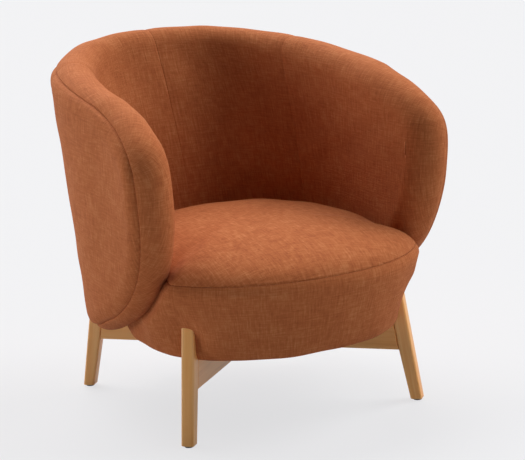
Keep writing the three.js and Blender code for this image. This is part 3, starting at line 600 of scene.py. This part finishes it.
# The seat
seat = {
    "crownHeight": 0.4072,
    "girthHeight": 0.3141,
    "undersideHeight": 0.1701,
    "gap": 0.0015,
    "noseHalfWidth": 0.3331,
    "noseFlare": 0.0301,
    "noseReach": 0.3294,
    "noseLean": 0.0267,
    "noseSidePower": 0.934,
    "noseFrontPower": 0.849,
    "noseLap": 0.060,            # how far behind an arm's front the seat starts to leave it
    "noseBlend": 0.110,
    "crownPower": 2.341,
    "bowlPower": 2.744,
    "bowlRound": 0.018,
    "seamRise": 0.19,            # radians over the girth
    "flapWidth": 0.034,
    "jointTurn": 3.909,          # of the short upright joint in the border
    "jointLength": 0.05,
    "jointFade": 0.02,
    "jointShare": 0.6,           # of a full seam's dip
    "legTurn": 2.17,             # the border is drawn in behind the front legs
    "legSpread": 0.13,
    "legDraw": 0.05,
    "legTop": 0.285,             # from here down to legFoot, fading over each band
    "legTopBand": 0.06,
    "legFoot": 0.175,
    "legFootBand": 0.05,
    "turnSteps": 480,
    "slopeStep": 0.002,          # radians that a slope is taken over
    "leastSlope": 1e-7,          # below this length it is a point, and faces straight up
    "coreShare": 0.4,            # of the height, where the point is that the skin faces away from
    "crownRows": 76,
    "crownEase": 0.9,
    "bowlRows": 56,
    "bowlEase": 1.1,
    "flapRows": 6,
    "patternHeight": 4.0,        # of the border's upper edge in the cloth pattern
    "puff": 0.0012,              # height of the top's slow waves, which are in radians a metre
    "puffWaves": (24, 21),
    "puffPhase": 1.1,
    "puffSlant": (43, 35),
    "puffSlantShare": 0.6,
    "puffFade": 0.05,
    "welt": 0.0008,              # the low ridge beside the seam
    "weltPlace": 0.004,
    "weltSoft": 0.003,
    "rippleFade": 0.04,
    "fill": 0.9,
}


# How far round an arm's front edge stands at a height
def armTurnAt(z):
    low, high = solidWall["footHeight"], solidWall["waistHeight"]
    drop = np.clip((high - z) / (high - low), 0, 1)
    share = (1 - drop ** solidWall["footPower"]) ** (1 / solidWall["footSidePower"])
    return solidWall["reach"] / solidWall["bendRadius"] * share


# In plan the seat follows the inside of the solids' wall, and leaves the arms for a nose of
# powers of the sine and cosine in front
def seatPlan(turn, z, armZ):
    turn, z, armZ = np.broadcast_arrays(turn, z, armZ)
    bend = solidWall["bendRadius"]
    outward = wallOutward(turn * bend, z, solidWall)
    level = outward[..., 0] ** 2 + outward[..., 1] ** 2
    room = (solidWall["half"] + seat["gap"]) / level
    beside = wallMiddle(turn, z, solidWall) - outward * np.array([1, 1, 0]) * room[..., None]
    lift = (z - seat["girthHeight"]) / wall["slopeSpan"]
    halfWidth = seat["noseHalfWidth"] + seat["noseFlare"] * lift
    reach = seat["noseReach"] + seat["noseLean"] * lift
    nose = np.stack([halfWidth * signedPower(np.sin(turn), seat["noseSidePower"]),
                     wall["centreY"] - reach * np.abs(np.cos(turn)) ** seat["noseFrontPower"], z], -1)
    start = np.maximum(armTurnAt(armZ) - seat["noseLap"] / bend, math.pi / 2)
    share = smooth((np.abs(turn) - start) * bend / seat["noseBlend"])
    return mix(beside, nose, np.where(np.cos(turn) >= 0, 0, share)[..., None])


# The seat's skin: its height follows a power of the sine of the rise, and its plan is scaled
# by a power of the cosine, down to a point at the crown and to a flat underside below. Behind
# each front leg the plan is drawn in by a bell across the turn.
def seatSkin(turn, rise):
    turn, rise = np.broadcast_arrays(turn, rise)
    over = rise > 0
    power = 2 / np.where(over, seat["crownPower"], seat["bowlPower"])
    level = np.abs(np.sin(rise)) ** power
    spread = np.abs(np.cos(rise)) ** power
    z = mix(seat["girthHeight"], np.where(over, seat["crownHeight"], seat["undersideHeight"]), level)
    plan = seatPlan(turn, np.minimum(z, seat["girthHeight"]), z)
    foot = 1 - seat["bowlRound"] / solidWall["waistHalfWidth"]
    beside = np.exp(-((np.abs(turn) - seat["legTurn"]) / seat["legSpread"]) ** 2)
    band = (smooth((seat["legTop"] - z) / seat["legTopBand"])
            * smooth((z - seat["legFoot"]) / seat["legFootBand"]))
    drawnIn = seat["legDraw"] * beside * band
    share = np.where(over, spread, mix(foot, 1, spread)) * (1 - drawnIn)
    centre = np.stack(np.broadcast_arrays(0.0, wall["centreY"], z), -1)
    return mix(centre, np.concatenate([plan[..., :2], z[..., None]], -1), share[..., None])


# A grid of the skin with its way out and the length down each column. Its columns start and end
# at the back, out of sight, and the turn is counted to either side of there.
def seatSheet(rises):
    spin = np.linspace(0, 2 * math.pi, seat["turnSteps"] + 1)[None]
    turn = (spin + math.pi) % (2 * math.pi) - math.pi
    rise = rises[:, None]
    step = seat["slopeStep"]
    place = seatSkin(turn, rise)
    across = seatSkin(turn + step, rise) - seatSkin(turn - step, rise)
    steep = (seatSkin(turn, np.minimum(rise + step, math.pi / 2))
             - seatSkin(turn, np.maximum(rise - step, -math.pi / 2)))
    outward = unit(np.cross(across, steep))
    outward[np.linalg.norm(across, axis=-1) < seat["leastSlope"]] = (0, 0, 1)
    coreHeight = mix(seat["undersideHeight"], seat["crownHeight"], seat["coreShare"])
    core = np.array([0, wall["centreY"], coreHeight])
    outward = outward * np.sign((outward * (place - core)).sum())
    run = np.linalg.norm(np.diff(place, axis=0), axis=-1)
    trail = np.concatenate([np.zeros((1, run.shape[1])), np.cumsum(run, axis=0)])
    return place, outward, trail, core, spin


# The top's pattern is laid out from the crown
def seatTop():
    rises = mix(math.pi / 2, seat["seamRise"], np.linspace(0, 1, seat["crownRows"]) ** seat["crownEase"])
    place, outward, trail, core, spin = seatSheet(rises)
    flat = unit((place - core) * np.array([1, 1, 0]))[..., :2] * trail[..., None]
    toSeam = trail[-1][None] - trail
    x, y = place[..., 0], place[..., 1]
    (wide, deep), (slantWide, slantDeep) = seat["puffWaves"], seat["puffSlant"]
    puff = seat["puff"] * (np.sin(wide * x + seat["puffPhase"]) * np.cos(deep * y)
                           + seat["puffSlantShare"] * np.sin(slantWide * x - slantDeep * y))
    welt = seat["welt"] * np.exp(-((toSeam - seat["weltPlace"]) / seat["weltSoft"]) ** 2)
    lift = puff * smooth(toSeam / seat["puffFade"]) + welt - seamDip(toSeam)
    makePiece("seat_top", place + outward * lift[..., None], flat, core, clothSeat,
              covers["thickness"], ["seat_top_cover", "seat_foam"])


# The border runs from the seam down the side and in under the seat to a narrow flap
def seatBorder():
    rises = mix(seat["seamRise"], -math.pi / 2, np.linspace(0, 1, seat["bowlRows"]) ** seat["bowlEase"])
    place, outward, trail, core, spin = seatSheet(rises)
    radius = wall["waistHalfWidth"]
    joint = (seamDip(np.abs(spin - seat["jointTurn"]) * radius)
             * smooth((seat["jointLength"] - trail) / seat["jointFade"]))
    waves = ripple(place[..., 0], place[..., 1] + place[..., 2]) * smooth(trail / seat["rippleFade"])
    lift = waves - seamDip(trail) - seat["jointShare"] * joint
    place = place + outward * lift[..., None]
    flapShare = 1 - seat["flapWidth"] / solidWall["waistHalfWidth"]
    centre = np.array([0, wall["centreY"], seat["undersideHeight"]])
    flap = mix(centre, place[-1], np.linspace(1, flapShare, seat["flapRows"])[1:, None, None])
    drop = np.concatenate([trail, trail[-1] + np.linalg.norm(flap - place[-1][None], axis=-1)])
    flat = np.stack([np.broadcast_to(spin[0] * radius, drop.shape), seat["patternHeight"] - drop], -1)
    makePiece("seat_border", np.concatenate([place, flap]), flat, core, clothWall,
              covers["thickness"], ["seat_border_cover"])


seatTop()
seatBorder()
print("seat made")


# The base
base = {
    "centreY": -0.0364,
    "footHalfWidth": 0.2673,
    "footHalfDepth": 0.2545,
    "footWidth": 0.0246,
    "legWidth": 0.030,
    "legThickness": 0.0272,
    "legHeight": 0.2512,
    "splay": 0.154,
    "edgeRound": 0.005,
    "footRound": 0.0015,
    "headRound": 0.013,
    "railUnderside": 0.1102,
    "glide": 0.0033,
    "shaftFrom": 0.012,          # even rows from here up to the head's round
    "shaftRows": 40,
    "roundRows": 9,
    "turnSteps": 64,
    "signDigits": 9,             # so that the sine's sign is 0 at the half turns
    "coreFrom": 0.02,            # ends of the inner line that the faces look away from
    "coreTo": 0.22,
    "patternRadius": 0.01,
}
footRadius = math.hypot(base["footHalfWidth"], base["footHalfDepth"])


# A leg: a four-sided section with round corners, wider from the foot up to the rail, carried up
# the splay. Its foot and head are drawn in by quarter rounds.
def leg(name, way):
    low, top, head, foot = base["glide"], base["legHeight"], base["headRound"], base["footRound"]
    quarter = np.linspace(0, math.pi / 2, base["roundRows"])[1:]
    shaft = np.linspace(base["shaftFrom"], top - head, base["shaftRows"])
    rise = np.concatenate([[low], low + foot * (1 - np.cos(quarter)), shaft,
                           top - head + head * np.sin(quarter), [top]])
    upper = np.clip((rise - (top - head)) / head, 0, 1)
    lower = np.clip((low + foot - rise) / foot, 0, 1)
    drawnIn = head * (1 - np.sqrt(1 - upper ** 2)) + foot * (1 - np.sqrt(1 - lower ** 2))
    upShaft = np.clip((rise - low) / (base["railUnderside"] - low), 0, 1)
    width = mix(base["footWidth"], base["legWidth"], upShaft)
    radialHalf = np.maximum(width / 2 - drawnIn, 0)[:, None]
    sideHalf = np.maximum(base["legThickness"] / 2 - drawnIn, 0)[:, None]
    radialHalf[[0, -1]] = 0
    sideHalf[[0, -1]] = 0
    corner = np.minimum(base["edgeRound"], np.minimum(radialHalf, sideHalf))
    span = np.linspace(0, 2 * math.pi, base["turnSteps"] + 1)[None]
    radial = (radialHalf - corner) * np.sign(np.cos(span)) + corner * np.cos(span)
    sideSign = np.sign(np.round(np.sin(span), base["signDigits"]))
    sideways = (sideHalf - corner) * sideSign + corner * np.sin(span)
    middle = (footRadius + base["footWidth"] / 2 - base["splay"] * rise - width / 2)[:, None]
    place = np.stack([way[0] * (middle + radial) - way[1] * sideways,
                      base["centreY"] + way[1] * (middle + radial) + way[0] * sideways,
                      np.broadcast_to(rise[:, None], radial.shape)], -1)
    coreHeight = np.clip(rise, base["coreFrom"], base["coreTo"])[:, None]
    core = np.stack(np.broadcast_arrays(way[0] * middle, base["centreY"] + way[1] * middle, coreHeight), -1)
    flat = np.stack(np.broadcast_arrays(span * base["patternRadius"], rise[:, None]), -1)
    lean = (-way[0] * base["splay"], -way[1] * base["splay"], 1)
    makePiece(name, place, flat, core, woodMaterial("oak_" + name, oakColours, lean), 0.0, [name])


legWays = {"front_left": (1, -1), "front_right": (-1, -1), "back_left": (1, 1), "back_right": (-1, 1)}
for endName, (sideX, sideY) in legWays.items():
    foot = np.array([sideX * base["footHalfWidth"], sideY * base["footHalfDepth"]])
    leg("leg_" + endName, foot / footRadius)
print("legs made")

# The kept pieces' finishes
finishes = {
    "frame_wood": frameWood,
    "foam": plainMaterial("foam", hexColour("d9cb98"), hexColour("efe4bd"), 420, 0.9),
    "webbing": plainMaterial("webbing", hexColour("26241f"), hexColour("3d3a35"), 900, 0.8),
    "lining": plainMaterial("lining", hexColour("161616"), hexColour("262626"), 1100, 0.9),
    "steel": plainMaterial("zinc", hexColour("a4a7ab"), hexColour("c7c9cc"), 300, 0.35, 0.95),
    "glide": plainMaterial("nylon", hexColour("2c2926"), hexColour("3f3b37"), 500, 0.5),
    "upholstery": clothWall,
}
railWays = {"cross_rail_upper": (1, -1), "cross_rail_lower": (-1, -1)}
for row in frame["record"]["subparts"]:
    finish = finishes.get(row["material_slot"], finishes["frame_wood"])
    if row["node"] in railWays:
        sideX, sideY = railWays[row["node"]]
        way = (sideX * base["footHalfWidth"], sideY * base["footHalfDepth"], 0)
        finish = woodMaterial("oak_" + row["node"], oakColours, way)
    node = frame["nodes"][row["node"]]
    node.data.materials.clear()
    node.data.materials.append(finish)
print("finishes set")

# Camera: its turn and rise about the aim point, and its small roll
view = {
    "azimuth": -26.547843,
    "elevation": 13.309467,
    "roll": -2.817536,
    "distance": 4.7480625,
    "focalPixels": 2230.632,
    "pictureWidth": 525,
    "sensorWidth": 36,
    "aimAlong": 0.0487648,
    "aimY": -0.023352,
    "aimHeight": 0.3544607,
}


def placeCamera():
    turn, rise, roll = (math.radians(view[key]) for key in ("azimuth", "elevation", "roll"))
    level = Vector((math.cos(turn), math.sin(turn), 0))
    ahead = Vector((-math.sin(turn) * math.cos(rise), math.cos(turn) * math.cos(rise), -math.sin(rise)))
    over = level.cross(ahead)
    aim = level * view["aimAlong"] + Vector((0, view["aimY"], view["aimHeight"]))
    right = level * math.cos(roll) + over * math.sin(roll)
    up = over * math.cos(roll) - level * math.sin(roll)
    lens = bpy.data.cameras.new("camera")
    lens.sensor_width = view["sensorWidth"]
    lens.lens = view["focalPixels"] * view["sensorWidth"] / view["pictureWidth"]
    camera = bpy.data.objects.new("camera", lens)
    bpy.context.scene.collection.objects.link(camera)
    turned = Matrix((right, up, -ahead)).transposed().to_4x4()
    camera.matrix_world = Matrix.Translation(aim - ahead * view["distance"]) @ turned
    bpy.context.scene.camera = camera


placeCamera()

# Floor, lights and the pale ground
studio = {
    "pale": hexColour("f1f1f3"),
    "matt": hexColour("d6d6d7"),
    "bounce": hexColour("b8b8b9"),  # the floor as the chair sees it
    "floorRadius": 40,
    "floorGlow": 0.79,           # the camera sees this share of the floor evenly lit
    "worldStrength": 0.02,
    "lamps": {  # direction that the light comes from, strength and angle in degrees
        "back": ((0.0, 0.9, 0.9), 3.5, 60),
        "rightHigh": ((1.0, -0.1, 0.9), 2.4, 40),
        "frontRight": ((0.7, -1.0, 0.5), 0.38, 60),
        "leftLow": ((-1.0, 0.45, 0.06), 1.4, 34),
    },
}


def makeFloor():
    mesh = bpy.data.meshes.new("floor")
    size = studio["floorRadius"]
    corners = [(-size, -size, 0), (size, -size, 0), (size, size, 0), (-size, size, 0)]
    mesh.from_pydata(corners, [], [(0, 1, 2, 3)])
    r = Recipe("pale_floor")
    matt = r.node("ShaderNodeBsdfDiffuse", None, studio["matt"])
    glow = r.node("ShaderNodeEmission", None, studio["pale"], 1.0)
    bounce = r.node("ShaderNodeBsdfDiffuse", None, studio["bounce"])
    seen = sum((r.node("ShaderNodeLightPath", None, out=ray)
                for ray in ("Is Camera Ray", "Is Glossy Ray", "Is Transmission Ray")), 0.0)
    lit = r.node("ShaderNodeMixShader", None, studio["floorGlow"], matt, glow)
    r.node("ShaderNodeOutputMaterial", None, r.node("ShaderNodeMixShader", None, seen, bounce, lit))
    mesh.materials.append(r.material)
    floor = bpy.data.objects.new("floor", mesh)
    bpy.context.scene.collection.objects.link(floor)


# The world is seen as the pale ground, and lights the object more dimly
def makeWorld():
    world = bpy.data.worlds.new("studio")
    world.use_nodes = True
    bpy.context.scene.world = world
    tree = world.node_tree
    ground = tree.nodes["Background"]
    ground.inputs["Color"].default_value = (1, 1, 1, 1)
    ground.inputs["Strength"].default_value = studio["worldStrength"]
    backdrop = tree.nodes.new("ShaderNodeBackground")
    backdrop.inputs["Color"].default_value = studio["pale"]
    either = tree.nodes.new("ShaderNodeMixShader")
    rays = tree.nodes.new("ShaderNodeLightPath")
    tree.links.new(rays.outputs["Is Camera Ray"], either.inputs[0])
    tree.links.new(ground.outputs[0], either.inputs[1])
    tree.links.new(backdrop.outputs[0], either.inputs[2])
    tree.links.new(either.outputs[0], tree.nodes["World Output"].inputs["Surface"])


def makeLights():
    for name, (way, strength, spread) in studio["lamps"].items():
        lamp = bpy.data.lights.new(name, "SUN")
        lamp.energy = strength
        lamp.angle = math.radians(spread)
        holder = bpy.data.objects.new(name, lamp)
        holder.rotation_euler = Vector(way).to_track_quat("Z", "Y").to_euler()
        bpy.context.scene.collection.objects.link(holder)


makeFloor()
makeWorld()
makeLights()
bpy.context.scene.view_settings.view_transform = "Standard"
print("camera, floor and lights set")
